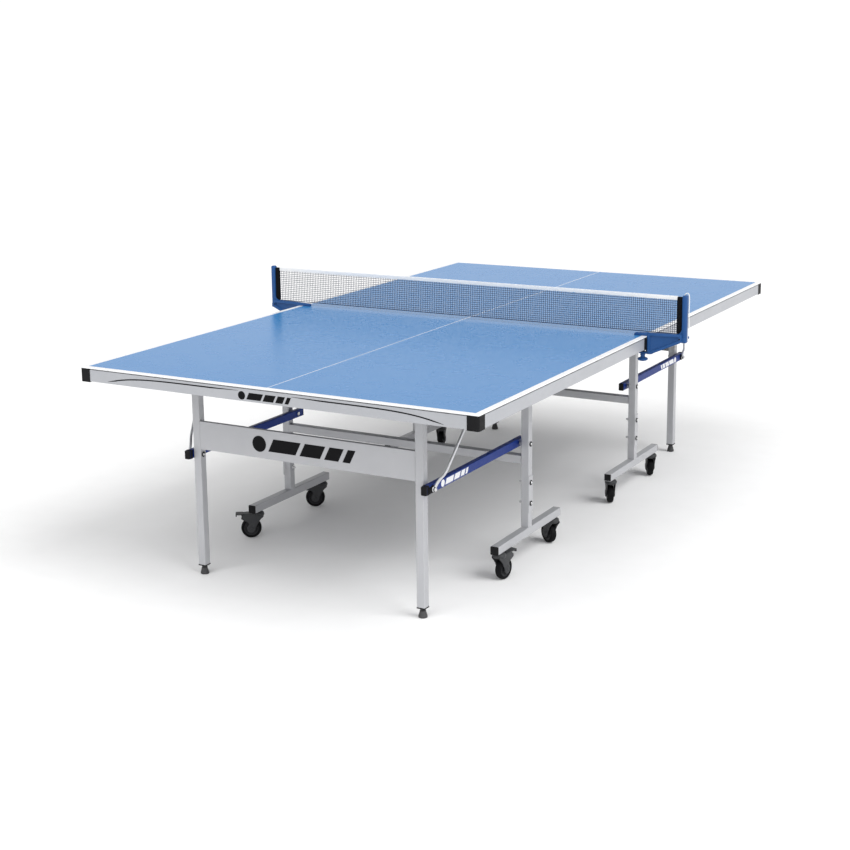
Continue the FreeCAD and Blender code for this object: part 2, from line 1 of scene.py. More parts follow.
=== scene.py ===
"""Looks of a roll-away table tennis table with a clamp-on net.

Metres. +X runs across the width, +Y along the length and +Z up. The far half is the
near half turned half a turn about Z, so most pieces are shaped once for the near
half's right side and then turned or mirrored into place.
"""
import json
import bmesh
import bpy
from math import cos, pi, radians, sin, sqrt
from mathutils import Matrix, Vector

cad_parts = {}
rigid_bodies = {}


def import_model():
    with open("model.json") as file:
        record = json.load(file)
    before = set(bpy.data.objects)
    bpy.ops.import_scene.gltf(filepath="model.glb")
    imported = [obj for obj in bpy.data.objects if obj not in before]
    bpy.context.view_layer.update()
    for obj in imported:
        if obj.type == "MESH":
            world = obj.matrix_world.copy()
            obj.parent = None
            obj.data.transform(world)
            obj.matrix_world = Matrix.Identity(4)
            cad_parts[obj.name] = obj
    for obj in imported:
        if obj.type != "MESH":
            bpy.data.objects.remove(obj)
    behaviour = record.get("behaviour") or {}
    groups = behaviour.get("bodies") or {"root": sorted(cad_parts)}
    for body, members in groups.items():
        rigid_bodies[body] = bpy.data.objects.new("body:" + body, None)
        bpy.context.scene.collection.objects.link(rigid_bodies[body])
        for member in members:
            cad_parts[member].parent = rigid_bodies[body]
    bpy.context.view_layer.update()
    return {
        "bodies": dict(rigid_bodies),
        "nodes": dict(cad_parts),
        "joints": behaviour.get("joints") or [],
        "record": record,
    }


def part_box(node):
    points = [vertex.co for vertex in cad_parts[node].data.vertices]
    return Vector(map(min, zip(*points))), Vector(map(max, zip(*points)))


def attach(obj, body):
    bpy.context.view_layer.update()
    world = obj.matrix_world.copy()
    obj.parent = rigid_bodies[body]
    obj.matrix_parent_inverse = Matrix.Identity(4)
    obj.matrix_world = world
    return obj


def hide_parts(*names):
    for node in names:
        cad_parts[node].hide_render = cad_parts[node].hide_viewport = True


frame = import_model()

MM = 0.001
SAME = Matrix.Identity(4)
IN_MM = Matrix.Scale(MM, 4)
HALF_TURN = Matrix.Rotation(pi, 4, "Z")
MIRROR_X = Matrix.Scale(-1, 4, (1, 0, 0))
HALVES = {"near": SAME, "far": HALF_TURN}
ALONG_Y = Matrix.Rotation(-pi / 2, 4, "X")

board_low, board_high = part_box("near_table_board")
apron_low, apron_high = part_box("near_edge_frame")
panel_low, panel_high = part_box("near_leg_panel")
bars_low, bars_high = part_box("near_side_bars")
legs_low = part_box("near_leg_tubes")[0]
net_low, net_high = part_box("net")

# Court lines and printed marks.
LINE_WIDTH = 20 * MM
CENTRE_LINE = 3 * MM
FILM = 0.15 * MM

# Middles of the tubes, and the heights of the bolts through the posts.
TUBE = 30 * MM
LEG_X = 441 * MM
LEG_Y = 1144 * MM
POST_X = 507 * MM
POST_Y = 505 * MM
LINK_Z = 437.5 * MM
SPLICE_Z = (221 * MM, 297 * MM)

# Faces across the linkage, from the side bar out to the nut on the leg bolt.
BAR_WIDTH = 20 * MM
bar_inner = bars_high.x - BAR_WIDTH
EYE_X = 484.1 * MM
EYE_WASHER_X = 488.2 * MM
LEG_NUT_X = 490 * MM

# The net's plane and the inner face of its right post.
NET_Y = -5 * MM
NET_POST_X = 889.5 * MM

# Sharper edges than these are rounded over, and stay crisp in the shading.
ROUND_OVER = radians(30)
SHARP_CREASE = radians(35)

# Points of a turned part that are closer than this are one point.
SAME_PLACE = 1e-6


# ---------------------------------------------------------------- shapes
def mesh_of(shape):
    mesh = bpy.data.meshes.new("shape")
    shape.to_mesh(mesh)
    shape.free()
    return mesh


def joined(shapes):
    """One shape made of several."""
    whole = bmesh.new()
    for shape in shapes:
        mesh = mesh_of(shape)
        whole.from_mesh(mesh)
        bpy.data.meshes.remove(mesh)
    return whole


def placed(shape, matrix):
    bmesh.ops.transform(shape, matrix=matrix, verts=shape.verts)
    if matrix.determinant() < 0:
        bmesh.ops.reverse_faces(shape, faces=shape.faces)
    return shape


def copied(shape, matrix):
    return placed(shape.copy(), matrix)


def both_sides(right):
    """The right side's shape together with its mirror image on the left."""
    return joined([copied(right, MIRROR_X), right])


def rounded(shape, radius, segments, edges=None):
    bmesh.ops.bevel(shape, geom=edges or shape.edges[:], offset=radius, offset_type="OFFSET",
                    affect="EDGES", segments=segments, profile=0.5, material=-1,
                    clamp_overlap=True)
    return shape


def softened(shape, radius, segments):
    """Rounds over every edge that turns sharply."""
    shape.normal_update()
    edges = [edge for edge in shape.edges
             if len(edge.link_faces) == 2 and edge.calc_face_angle() > ROUND_OVER]
    return rounded(shape, radius, segments, edges)


def block(low, high, radius=0.0, segments=2):
    """A box between two corners, with its edges rounded over."""
    low = Vector(low)
    high = Vector(high)
    shape = bmesh.new()
    bmesh.ops.create_cube(shape, size=1.0)
    bmesh.ops.scale(shape, vec=high - low, verts=shape.verts)
    bmesh.ops.translate(shape, vec=(low + high) / 2, verts=shape.verts)
    if radius:
        rounded(shape, radius, segments)
    return shape


def lathed(profile, steps, matrix=SAME):
    """A turned part: a (radius, height) profile spun once about its own Z axis."""
    shape = bmesh.new()
    corners = [shape.verts.new((radius, 0, height)) for radius, height in profile]
    lines = [shape.edges.new(ends) for ends in zip(corners, corners[1:])]
    bmesh.ops.spin(shape, geom=corners + lines, cent=(0, 0, 0), axis=(0, 0, 1),
                   angle=2 * pi, steps=steps, use_merge=True)
    bmesh.ops.remove_doubles(shape, verts=shape.verts, dist=SAME_PLACE)
    bmesh.ops.recalc_face_normals(shape, faces=shape.faces)
    return placed(shape, matrix)


def cut_out(outline, low, high):
    """A plate in the XZ plane with the given outline, from y = low to y = high."""
    shape = bmesh.new()
    face = shape.faces.new([shape.verts.new((x, low, z)) for x, z in outline])
    grown = bmesh.ops.extrude_face_region(shape, geom=[face])
    moved = [part for part in grown["geom"] if isinstance(part, bmesh.types.BMVert)]
    bmesh.ops.translate(shape, vec=(0, high - low, 0), verts=moved)
    bmesh.ops.recalc_face_normals(shape, faces=shape.faces)
    shape.normal_update()
    return shape


def arc(centre, radius, start, stop, steps):
    """Points round part of a circle, by angle in degrees."""
    angles = [radians(start + (stop - start) * i / steps) for i in range(steps + 1)]
    return [(centre[0] + radius * cos(a), centre[1] + radius * sin(a)) for a in angles]


def thread(start, turns, crest, root):
    """The zigzag profile of a screw thread, in millimetres."""
    pitch, flank = 1.5, 0.7
    profile = []
    for i in range(turns):
        profile += [(crest, start + i * pitch), (root, start + i * pitch + flank)]
    return profile


def piece(name, shape, body, slot, finish=None):
    """Makes a shape an object on a body, with its slot's finish or another named one."""
    for face in shape.faces:
        face.smooth = True
    mesh = mesh_of(shape)
    mesh.name = name
    mesh.set_sharp_from_angle(angle=SHARP_CREASE)
    mesh.materials.append(FINISHES[finish or slot])
    made = bpy.data.objects.new(name, mesh)
    bpy.context.scene.collection.objects.link(made)
    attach(made, body)
    return made


def bent_round(name, route, radius, facets, steps, slot):
    """A round rod or cord that follows a smooth curve along a route, in millimetres."""
    curve = bpy.data.curves.new(name, "CURVE")
    curve.dimensions = "3D"
    curve.bevel_depth = radius * MM
    curve.bevel_resolution = facets
    curve.use_fill_caps = True
    line = curve.splines.new("NURBS")
    line.points.add(len(route) - 1)
    for point, place in zip(line.points, route):
        point.co = (*(IN_MM @ Vector(place)), 1)
    line.order_u = 3
    line.use_endpoint_u = True
    line.resolution_u = steps
    curve.materials.append(FINISHES[slot])
    made = bpy.data.objects.new(name, curve)
    bpy.context.scene.collection.objects.link(made)
    return made


# ---------------------------------------------------------------- finishes
class Finish:
    """A procedural material: one shader fed by patterns laid in object space."""

    def __init__(self, name, colour=(0.5, 0.5, 0.5), roughness=0.5, metallic=0.0, ior=1.5,
                 shine=0.5):
        self.material = bpy.data.materials.new(name)
        self.material.use_nodes = True
        self.nodes = self.material.node_tree.nodes
        self.links = self.material.node_tree.links
        self.shader = self.nodes["Principled BSDF"]
        self.set("Base Color", (*colour, 1.0))
        self.set("Roughness", roughness)
        self.set("Metallic", metallic)
        self.set("IOR", ior)
        self.set("Specular IOR Level", shine)
        self.place = self.nodes.new("ShaderNodeTexCoord").outputs["Object"]

    def set(self, socket, value):
        self.shader.inputs[socket].default_value = value

    def feed(self, socket, output):
        self.links.new(output, self.shader.inputs[socket])

    def noise(self, scale, detail=3.0, stretch=(1, 1, 1)):
        stretched = self.nodes.new("ShaderNodeMapping")
        stretched.inputs["Scale"].default_value = stretch
        self.links.new(self.place, stretched.inputs["Vector"])
        noise = self.nodes.new("ShaderNodeTexNoise")
        noise.inputs["Scale"].default_value = scale
        noise.inputs["Detail"].default_value = detail
        self.links.new(stretched.outputs["Vector"], noise.inputs["Vector"])
        return noise.outputs["Fac"]

    def between(self, pattern, low, high):
        """The pattern's 0.3 to 0.7 stretched from low to high."""
        spread = self.nodes.new("ShaderNodeMapRange")
        self.links.new(pattern, spread.inputs["Value"])
        spread.inputs["From Min"].default_value = 0.3
        spread.inputs["From Max"].default_value = 0.7
        spread.inputs["To Min"].default_value = low
        spread.inputs["To Max"].default_value = high
        return spread.outputs["Result"]

    def maths(self, operation, first, second=0.0):
        step = self.nodes.new("ShaderNodeMath")
        step.operation = operation
        for socket, value in zip(step.inputs, (first, second)):
            if isinstance(value, (int, float)):
                socket.default_value = value
            else:
                self.links.new(value, socket)
        return step.outputs["Value"]

    def mixed_colour(self, share, first, second):
        mix = self.nodes.new("ShaderNodeMixRGB")
        self.links.new(share, mix.inputs["Fac"])
        for socket, value in ((mix.inputs["Color1"], first), (mix.inputs["Color2"], second)):
            if isinstance(value, tuple):
                socket.default_value = (*value, 1.0)
            else:
                self.links.new(value, socket)
        return mix.outputs["Color"]

    def bump(self, pattern, depth):
        bump = self.nodes.new("ShaderNodeBump")
        bump.inputs["Distance"].default_value = depth
        bump.inputs["Strength"].default_value = 1.0
        self.links.new(pattern, bump.inputs["Height"])
        self.feed("Normal", bump.outputs["Normal"])


def coated(name, colour, shade, roughness, metallic=0.0, grain=900, depth=0.00004, shine=0.5,
           stretch=(1, 1, 1)):
    """Paint or moulded plastic: cloudy tone, uneven gloss and a fine skin texture."""
    finish = Finish(name, colour, roughness, metallic, shine=shine)
    cloud = finish.between(finish.noise(9.0, 4.0), 0.0, 1.0)
    finish.feed("Base Color", finish.mixed_colour(cloud, colour, shade))
    gloss = finish.between(finish.noise(60.0), roughness - 0.05, roughness + 0.05)
    finish.feed("Roughness", gloss)
    finish.bump(finish.noise(grain, 2.0, stretch), depth)
    return finish


def playing_board():
    """Blue court paint with its white lines, a white edge and a dark underside."""
    finish = Finish("playing_board", roughness=0.26, ior=1.45, shine=0.4)
    axes = finish.nodes.new("ShaderNodeSeparateXYZ")
    finish.links.new(finish.place, axes.inputs["Vector"])
    across = finish.maths("ABSOLUTE", axes.outputs["X"])
    along = finish.maths("ABSOLUTE", axes.outputs["Y"])
    side_line = finish.maths("GREATER_THAN", across, board_high.x - LINE_WIDTH)
    end_line = finish.maths("GREATER_THAN", along, -board_low.y - LINE_WIDTH)
    centre_line = finish.maths("LESS_THAN", across, CENTRE_LINE / 2)
    lines = finish.maths("MAXIMUM", finish.maths("MAXIMUM", side_line, end_line), centre_line)
    under = finish.maths("LESS_THAN", axes.outputs["Z"], board_low.z + 0.2 * MM)
    speckle = finish.between(finish.noise(420.0, 2.0), 0.0, 1.0)
    court = finish.mixed_colour(speckle, (0.040, 0.212, 0.500), (0.043, 0.219, 0.512))
    white = finish.mixed_colour(speckle, (0.82, 0.83, 0.84), (0.88, 0.88, 0.89))
    top = finish.mixed_colour(lines, court, white)
    finish.feed("Base Color", finish.mixed_colour(under, top, (0.030, 0.034, 0.045)))
    finish.feed("Roughness", finish.between(finish.noise(14.0, 2.0), 0.26, 0.28))
    finish.bump(finish.noise(220.0, 2.0), 0.00001)
    return finish.material


def frame_paint():
    return coated("frame_paint", (0.43, 0.435, 0.455), (0.455, 0.46, 0.48), 0.42, 0.25).material


def edge_paint():
    """Satin silver on the rolled edge frame, with faint lengthways draw marks."""
    return coated("edge_paint", (0.40, 0.41, 0.435), (0.425, 0.435, 0.46), 0.42, 0.25,
                  grain=700, depth=0.00003, stretch=(1, 1, 6)).material


def bar_paint():
    return coated("bar_paint", (0.010, 0.032, 0.195), (0.012, 0.037, 0.215), 0.40,
                  shine=0.15).material


def black_plastic():
    return coated("black_plastic", (0.008, 0.008, 0.009), (0.012, 0.012, 0.013), 0.52,
                  grain=1500, depth=0.00008, shine=0.1).material


def foot_rubber():
    return coated("foot_rubber", (0.040, 0.040, 0.042), (0.060, 0.060, 0.063), 0.60,
                  grain=1200, depth=0.00010, shine=0.3).material


def clamp_blue():
    return coated("clamp_blue", (0.014, 0.068, 0.215), (0.018, 0.080, 0.245), 0.40,
                  grain=1100, depth=0.00006, shine=0.25).material


def caster_plastic():
    return coated("caster_plastic", (0.040, 0.041, 0.044), (0.050, 0.051, 0.054), 0.46,
                  grain=1300, depth=0.00006, shine=0.2).material


def caster_hub():
    return coated("caster_hub", (0.024, 0.024, 0.027), (0.031, 0.031, 0.034), 0.45,
                  grain=1000, shine=0.15).material


def caster_tyre():
    """Hard black rubber, scuffed paler on the tread."""
    finish = Finish("caster_tyre", roughness=0.6, shine=0.1)
    scuffs = finish.between(finish.noise(70.0, 6.0), 0.0, 1.0)
    finish.feed("Base Color",
                finish.mixed_colour(scuffs, (0.003, 0.003, 0.004), (0.006, 0.006, 0.007)))
    finish.feed("Roughness", finish.between(finish.noise(40.0), 0.5, 0.68))
    finish.bump(finish.noise(1600.0, 3.0), 0.0001)
    return finish.material


def bright_steel(name, colour, roughness):
    """Zinc-bright steel with fine turning marks."""
    finish = Finish(name, colour, roughness, metallic=0.9)
    gloss = finish.between(finish.noise(300.0), roughness - 0.06, roughness + 0.08)
    finish.feed("Roughness", gloss)
    finish.bump(finish.noise(1800.0, 2.0, (1, 1, 4)), 0.00003)
    return finish.material


def net_fabric():
    """Twisted navy polyester thread."""
    finish = Finish("net_fabric", roughness=0.8)
    twist = finish.between(finish.noise(900.0, 2.0), 0.0, 1.0)
    finish.feed("Base Color",
                finish.mixed_colour(twist, (0.008, 0.016, 0.046), (0.016, 0.030, 0.076)))
    finish.set("Sheen Weight", 0.05)
    finish.bump(finish.noise(2600.0, 2.0), 0.0001)
    return finish.material


def woven(name, colour, shade, threads, sheen=0.25, shine=0.5):
    """Woven band: crossed threads, a little fuzz and soft sheen."""
    finish = Finish(name, colour, 0.85, shine=shine)
    axes = finish.nodes.new("ShaderNodeSeparateXYZ")
    finish.links.new(finish.place, axes.inputs["Vector"])
    warp = finish.maths("SINE", finish.maths("MULTIPLY", axes.outputs["X"], threads))
    weft = finish.maths("SINE", finish.maths("MULTIPLY", axes.outputs["Z"], threads))
    weave = finish.maths("MULTIPLY", warp, weft)
    fuzz = finish.between(finish.noise(160.0, 4.0), 0.0, 1.0)
    finish.feed("Base Color", finish.mixed_colour(fuzz, colour, shade))
    finish.feed("Roughness", finish.between(finish.noise(90.0), 0.78, 0.92))
    finish.set("Sheen Weight", sheen)
    finish.bump(weave, 0.0001)
    return finish.material


def printed(name, colour, shine=0.4):
    """A printed film: an even tone, slightly glossy, with edge wear."""
    finish = Finish(name, colour, 0.45, shine=shine)
    wear = finish.between(finish.noise(240.0, 5.0), 0.0, 1.0)
    worn = tuple(0.92 * channel + 0.002 for channel in colour)
    finish.feed("Base Color", finish.mixed_colour(wear, colour, worn))
    finish.feed("Roughness", finish.between(finish.noise(50.0), 0.4, 0.5))
    finish.bump(finish.noise(1200.0), 0.00002)
    return finish.material


FINISHES = {
    "playing_board": playing_board(),
    "frame_paint": frame_paint(),
    "edge_paint": edge_paint(),
    "bar_paint": bar_paint(),
    "black_plastic": black_plastic(),
    "foot_rubber": foot_rubber(),
    "clamp_blue": clamp_blue(),
    "caster_plastic": caster_plastic(),
    "caster_hub": caster_hub(),
    "caster_tyre": caster_tyre(),
    "bolt_steel": bright_steel("bolt_steel", (0.72, 0.72, 0.73), 0.28),
    "stay_steel": bright_steel("stay_steel", (0.66, 0.67, 0.69), 0.38),
    "net_fabric": net_fabric(),
    "net_tape": woven("net_tape", (0.86, 0.86, 0.85), (0.80, 0.80, 0.80), 7000),
    "net_sleeve": woven("net_sleeve", (0.003, 0.003, 0.004), (0.006, 0.006, 0.007), 6000,
                        0.02, 0.1),
    "cord_white": woven("cord_white", (0.82, 0.82, 0.80), (0.74, 0.74, 0.73), 6000),
    "black_print": printed("black_print", (0.004, 0.004, 0.005), 0.08),
    "white_print": printed("white_print", (0.85, 0.86, 0.88)),
}


def paint_frame_nodes():
    """Gives every carried-over node the finish of its record slot."""
    for subpart in frame["record"]["subparts"]:
        node = frame["nodes"][subpart["node"]]
        node.data.materials.clear()
        node.data.materials.append(FINISHES[subpart["material_slot"]])


# ---------------------------------------------------------------- printed marks
def ball_and_dashes(length, height):
    """A plain sports mark in the XZ plane, centred: a ball with leaning dashes behind it."""
    ball = height / 2
    lean = 0.4 * height
    mark = [cut_out(arc((ball - length / 2, 0), ball, 0, 360, 32)[:-1], -FILM, 0)]
    start = 2.3 * ball - length / 2
    room = length / 2 - start - lean
    gap = 0.05 * room
    for share in (0.34, 0.25, 0.17, 0.09):
        width = share * room
        outline = [(start, -0.8 * ball), (start + width, -0.8 * ball),
                   (start + width + lean, 0.8 * ball), (start + lean, 0.8 * ball)]
        mark.append(cut_out(outline, -FILM, 0))
        start += width + gap
    return joined(mark)


def pinstripe(from_x, to_x):
    """A tapering line on the end apron that hooks downwards at its outer end."""
    width = 4.4 * MM
    steps = 48
    high_z = apron_high.z - 11 * MM
    drop = 27 * MM
    upper = []
    lower = []
    for i in range(steps + 1):
        share = i / steps
        x = from_x + (to_x - from_x) * share
        z = high_z - drop * share ** 6
        taper = min(1, 0.2 + 4 * share, 0.2 + 14 * (1 - share))
        upper.append((x, z))
        lower.append((x, z - width * taper))
    return cut_out(upper + lower[::-1], -FILM, 0)


def add_marks():
    apron_face = Matrix.Translation((0, board_low.y + 1.5 * MM, 0))
    apron_middle = (apron_low.z + apron_high.z) / 2 - 4 * MM
    panel_middle = (panel_low.z + panel_high.z) / 2
    panel_face = Matrix.Translation((0, panel_low.y, panel_middle))
    bar_middle_y = -988 * MM
    bar_face = (Matrix.Translation((bars_high.x, bar_middle_y, LINK_Z))
                @ Matrix.Rotation(pi / 2, 4, "Z"))
    for half, turn in HALVES.items():
        mark = placed(ball_and_dashes(205 * MM, 28 * MM), Matrix.Translation((0, 0, apron_middle)))
        marks = joined([mark, both_sides(pinstripe(102 * MM, 645 * MM))])
        piece(f"{half}_apron_print", placed(marks, turn @ apron_face), f"{half}_top",
              "edge_paint", "black_print")
        panel_mark = ball_and_dashes(410 * MM, 56 * MM)
        piece(f"{half}_panel_print", placed(panel_mark, turn @ panel_face), f"{half}_legs",
              "frame_paint", "black_print")
        bar_mark = placed(ball_and_dashes(190 * MM, 24 * MM), bar_face)
        piece(f"{half}_bar_prints", placed(both_sides(bar_mark), turn), f"{half}_side_bars",
              "bar_paint", "white_print")


# ---------------------------------------------------------------- net
def net_threads(cloth_low, cloth_high, reach):
    """Square-knotted threads, upright and level."""
    spacing = 8 * MM
    width = 1.5 * MM
    depth = 0.8 * MM
    overlap = 0.3 * MM
    threads = []
    count = int(2 * reach / spacing)
    for i in range(count + 1):
        x = -reach + 2 * reach * i / count
        threads.append(block((x - width / 2, NET_Y - depth, cloth_low),
                             (x + width / 2, NET_Y, cloth_high)))
    rows = int((cloth_high - cloth_low) / spacing)
    for i in range(rows + 1):
        z = cloth_low + (cloth_high - cloth_low) * i / rows
        threads.append(block((-reach, NET_Y - overlap, z - width / 2),
                             (reach, NET_Y - overlap + depth, z + width / 2)))
    return joined(threads)


def band(low_z, high_z, reach, thick, ripple):
    """A folded tape along X with a soft edge and a slight ripple."""
    shape = block((-reach, NET_Y - thick / 2, low_z), (reach, NET_Y + thick / 2, high_z),
                  0.45 * thick, 3)
    cuts = 160
    quick, slow = 61, 23
    for i in range(1, cuts):
        x = -reach + 2 * reach * i / cuts
        bmesh.ops.bisect_plane(shape, geom=shape.verts[:] + shape.edges[:] + shape.faces[:],
                               plane_co=(x, 0, 0), plane_no=(1, 0, 0))
    for corner in shape.verts:
        share = (high_z - corner.co.z) / (high_z - low_z)
        corner.co.y += ripple * share * sin(corner.co.x * quick) * cos(corner.co.x * slow)
    return shape


def stitches(z, reach, face_y):
    """A row of lockstitches along a tape."""
    pitch = 7 * MM
    half_stitch = Vector((2.2, 0.25, 0.3)) * MM
    row = []
    for i in range(int(2 * reach / pitch)):
        middle = Vector((-reach + (i + 0.5) * pitch, face_y, z))
        row.append(block(middle - half_stitch, middle + half_stitch))
    return joined(row)


def add_net():
    reach = 868 * MM
    tape_low = net_high.z - 15 * MM
    seam_z = tape_low + 2 * MM
    seam_depth = 1.7 * MM
    half_sleeve = 5.5 * MM
    threads = piece("net_threads", net_threads(net_low.z + 1 * MM, tape_low + 4 * MM, reach),
                    "near_top", "net_fabric")
    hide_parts("net")
    tape = piece("net_top_tape", band(tape_low, net_high.z, reach + 4 * MM, 3.2 * MM, 0.4 * MM),
                 "near_top", "net_tape")
    seams = joined([stitches(seam_z, reach, NET_Y - seam_depth),
                    stitches(seam_z, reach, NET_Y + seam_depth)])
    seam = piece("net_tape_stitching", seams, "near_top", "net_tape")
    hem = piece("net_bottom_cord", band(net_low.z, net_low.z + 3 * MM, reach, 3 * MM, 0.2 * MM),
                "near_top", "net_fabric")
    sleeve = block((reach + 1 * MM, NET_Y - half_sleeve, net_low.z + 1.5 * MM),
                   (NET_POST_X, NET_Y + half_sleeve, net_high.z - 2 * MM), 4 * MM, 4)
    ends = piece("net_end_sleeves", both_sides(sleeve), "near_top", "net_sleeve")


def add_net_cord():
    """Spare end of the net's tension cord, over the right post and down its side."""
    route = [(896, -5, 917.2), (900, -5, 925), (909, -5, 926), (913.5, -6, 917), (914.5, -6, 899),
             (914, -8, 869), (915.5, -9, 833), (917.5, -12, 799), (917, -14, 769)]
    cord = bent_round("net_tension_cord", route, 1.5, 4, 12, "cord_white")
    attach(cord, "near_top")
    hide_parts("net_cord")
    tip_profile = [(0, -8), (1.5, -8), (2.1, -7), (2.3, 0), (1.8, 1), (0, 1)]
    tip_shape = lathed(tip_profile, 16, IN_MM @ Matrix.Translation(route[-1]))
    tip = piece("net_cord_tip", tip_shape, "near_top", "clamp_blue")


# ---------------------------------------------------------------- net clamps
def clamp_shape():
    """Right clamp in millimetres: two jaws, a braced arm with a sunk panel, and the net post."""
    front, back = -27, -8
    arm = cut_out([(764, 771.5), (893, 774.5), (893, 747), (889, 743.5), (790, 699), (783, 694.5),
                   (776, 693.2), (764, 693.2)], front, back)
    for face in [side for side in arm.faces if abs(side.normal.y) > 0.9]:
        bmesh.ops.inset_region(arm, faces=[face], thickness=9, depth=0, use_even_offset=True)
        bmesh.ops.inset_region(arm, faces=[face], thickness=1.5, depth=-6.5, use_even_offset=True)
    softened(arm, 1.6, 2)
    upper_jaw = cut_out([(713, 760.3), (772, 760.3), (772, 772), (718, 769.6), (714.5, 768.5),
                         (713, 766)], front, back)
    softened(upper_jaw, 2.2, 3)
    lower_jaw = block((731, front, 693), (772, back, 701), 3, 3)
    heel = block((757, front + 1, 694), (766, back - 1, 700.5), 2, 2)
    post = block((NET_POST_X / MM, -16, 742), (908, 6, 917), 6, 5)
    hollow = arc((871.5, 792.5), 18.5, -4, -84, 8)
    gusset = softened(cut_out([(869, 773), (892, 773), (892, 791)] + hollow, -15, -9), 1, 2)
    collar = block((887, -17.5, 742.4), (907.6, 6.4, 762), 4, 3)
    rib = block((764.5, -28.4, 697), (773, -20, 770), 2, 2)
    return joined([arm, upper_jaw, lower_jaw, heel, post, gusset, collar, rib])


def knob_shape():
    """Right clamp screw in millimetres: mushroom knob, threaded stem and swivel pad."""
    knob = [(0, 665), (9, 665.3), (14.5, 666.8), (18, 669.6), (19, 672.5), (18.4, 675),
            (15.6, 676.8), (10.4, 678.4), (8.4, 681), (8, 685), (9.4, 688), (9.4, 690.6),
            (5, 691)]
    pad = [(4.9, 705.6), (8.4, 705.7), (9, 706.4), (9, 708), (8.2, 708.7), (0, 708.7)]
    stem = thread(691.6, 9, 4.9, 4.3)
    parts = [lathed(knob + stem + pad, 44)]
    grips = 12
    for i in range(grips):
        grip = block((16.6, -1.1, 669.5), (19, 1.1, 675), 0.8, 2)
        parts.append(placed(grip, Matrix.Rotation(i * 2 * pi / grips, 4, "Z")))
    return placed(joined(parts), Matrix.Translation((745, -17.5, 0)))


def add_net_clamps():
    for side, turn in (("right", IN_MM), ("left", MIRROR_X @ IN_MM)):
        clamp = piece(f"{side}_clamp_shell", placed(clamp_shape(), turn), "near_top", "clamp_blue")
        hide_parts(f"{side}_net_clamp")
        knob = piece(f"{side}_clamp_knob", placed(knob_shape(), turn), f"{side}_clamp_screw",
                     "clamp_blue")
        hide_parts(f"{side}_clamp_screw")
        # Painted shade: a thin black disc stands in for the shadow inside a small recess on the
        # arm's front face. A black block stands in for the shaded gap in the throat between the
        # jaws, behind the board's edge.
        arm_end = Matrix.Translation((886.5, -27, 757.5)) @ Matrix.Rotation(pi / 2, 4, "X")
        recess_shade = lathed([(0, 0.3), (2.6, 0.3), (3, 0), (0, 0)], 24, arm_end)
        throat_shade = block((759, -25, 701.5), (763.5, -10, 760), 1, 2)
        piece(f"{side}_clamp_shade_patches", placed(joined([recess_shade, throat_shade]), turn), "near_top",
              "black_plastic")


# ---------------------------------------------------------------- casters
def tyre_shape():
    """Rubber band, in millimetres, with rounded shoulders and a groove at each side."""
    half = [(28, 9), (29, 11), (31.5, 11.6), (32.4, 11.0), (33.3, 11.6), (35.6, 10.6), (37.6, 8),
            (38.4, 4), (38.5, 0)]
    other = [(radius, -side) for radius, side in reversed(half[:-1])]
    return lathed(half + other + half[:1], 56)


def wheel_centre_shape():
    """Moulded wheel centre, in millimetres: dished web, raised ring, long boss and ribs."""
    face = [(4.1, 13.4), (9, 13.4), (9.8, 12.6), (10.4, 7), (17, 6), (19, 7.4), (21, 6), (25, 8.4),
            (27.9, 9.4)]
    back = [(radius, -height) for radius, height in reversed(face)]
    parts = [lathed(face + back + face[:1], 48)]
    ribs = 8
    for i in range(ribs):
        for flip in (SAME, Matrix.Rotation(pi, 4, "X")):
            rib = block((9.5, -0.9, 5.5), (26, 0.9, 8.2), 0.4, 1)
            parts.append(placed(rib, Matrix.Rotation(i * 2 * pi / ribs, 4, "Z") @ flip))
    return joined(parts)


def fork_shape(braked):
    """Swivel fork in millimetres, its wheel trailing towards +X: dome, hood and two cheeks."""
    trail, axle_z = 26, 38.5
    outer, plate = 18, 3.5
    dome_profile = [(0, 102.4), (12, 102.4), (13.5, 101.4), (18, 100.6), (21.4, 98.4), (23.4, 95),
                    (24, 91.5), (23.2, 87.6), (20.6, 84.2), (16, 82.2), (0, 82)]
    kingpin_profile = [(5, 102), (5, 123.4), (0, 124), (0, 102)]
    parts = [lathed(dome_profile, 44), lathed(kingpin_profile, 20)]
    if braked:
        rear = [(-15, 96), (46, 96), (52, 94.5), (56, 90), (61.5, 85.5), (64, 81), (62, 75.5),
                (52, 69.5), (42, 65), (36, 60), (34.6, 55.6)]
        hood = [(-17, 84), (-17, 94), (20.5, 94), (22, 91), (22, 86), (20, 84)]
    else:
        rear = [(-15, 92), (20, 92), (34, 90), (48, 85), (58, 78), (62.5, 72.6), (61, 70.4),
                (52, 71.4), (43, 69), (36.5, 63), (34.6, 55.6)]
        hood = [(-17, 84), (-17, 91.5), (22, 91.6), (34, 89.5), (48, 84.5), (57.5, 77.6),
                (61.5, 72.8), (58, 70.5), (50, 76), (40, 80.8), (30, 84), (20, 85.6)]
    hub = arc((trail, axle_z), 16.5, 58, -190, 26)
    front = [(6, 48), (1.5, 56), (-2, 63), (-7, 70), (-13, 76.5), (-19, 81.6), (-21.4, 86),
             (-20, 91)]
    for low in (-outer, outer - plate):
        parts.append(softened(cut_out(rear + hub + front, low, low + plate), 1.3, 3))
    parts.append(softened(cut_out(hood, 1 - outer, outer - 1), 2, 3))
    axle_cap = [(0, 1.5), (4.6, 1.5), (5.6, 0.9), (6, 0.3), (8.5, 0.3), (9.2, 1.0), (12.5, 0.9),
                (13.5, -0.5), (0, -0.5)]
    for side in (1, -1):
        face = (Matrix.Translation((trail, side * outer, axle_z))
                @ Matrix.Rotation(-side * pi / 2, 4, "X"))
        parts.append(lathed(axle_cap, 36, face))
    return joined(parts)


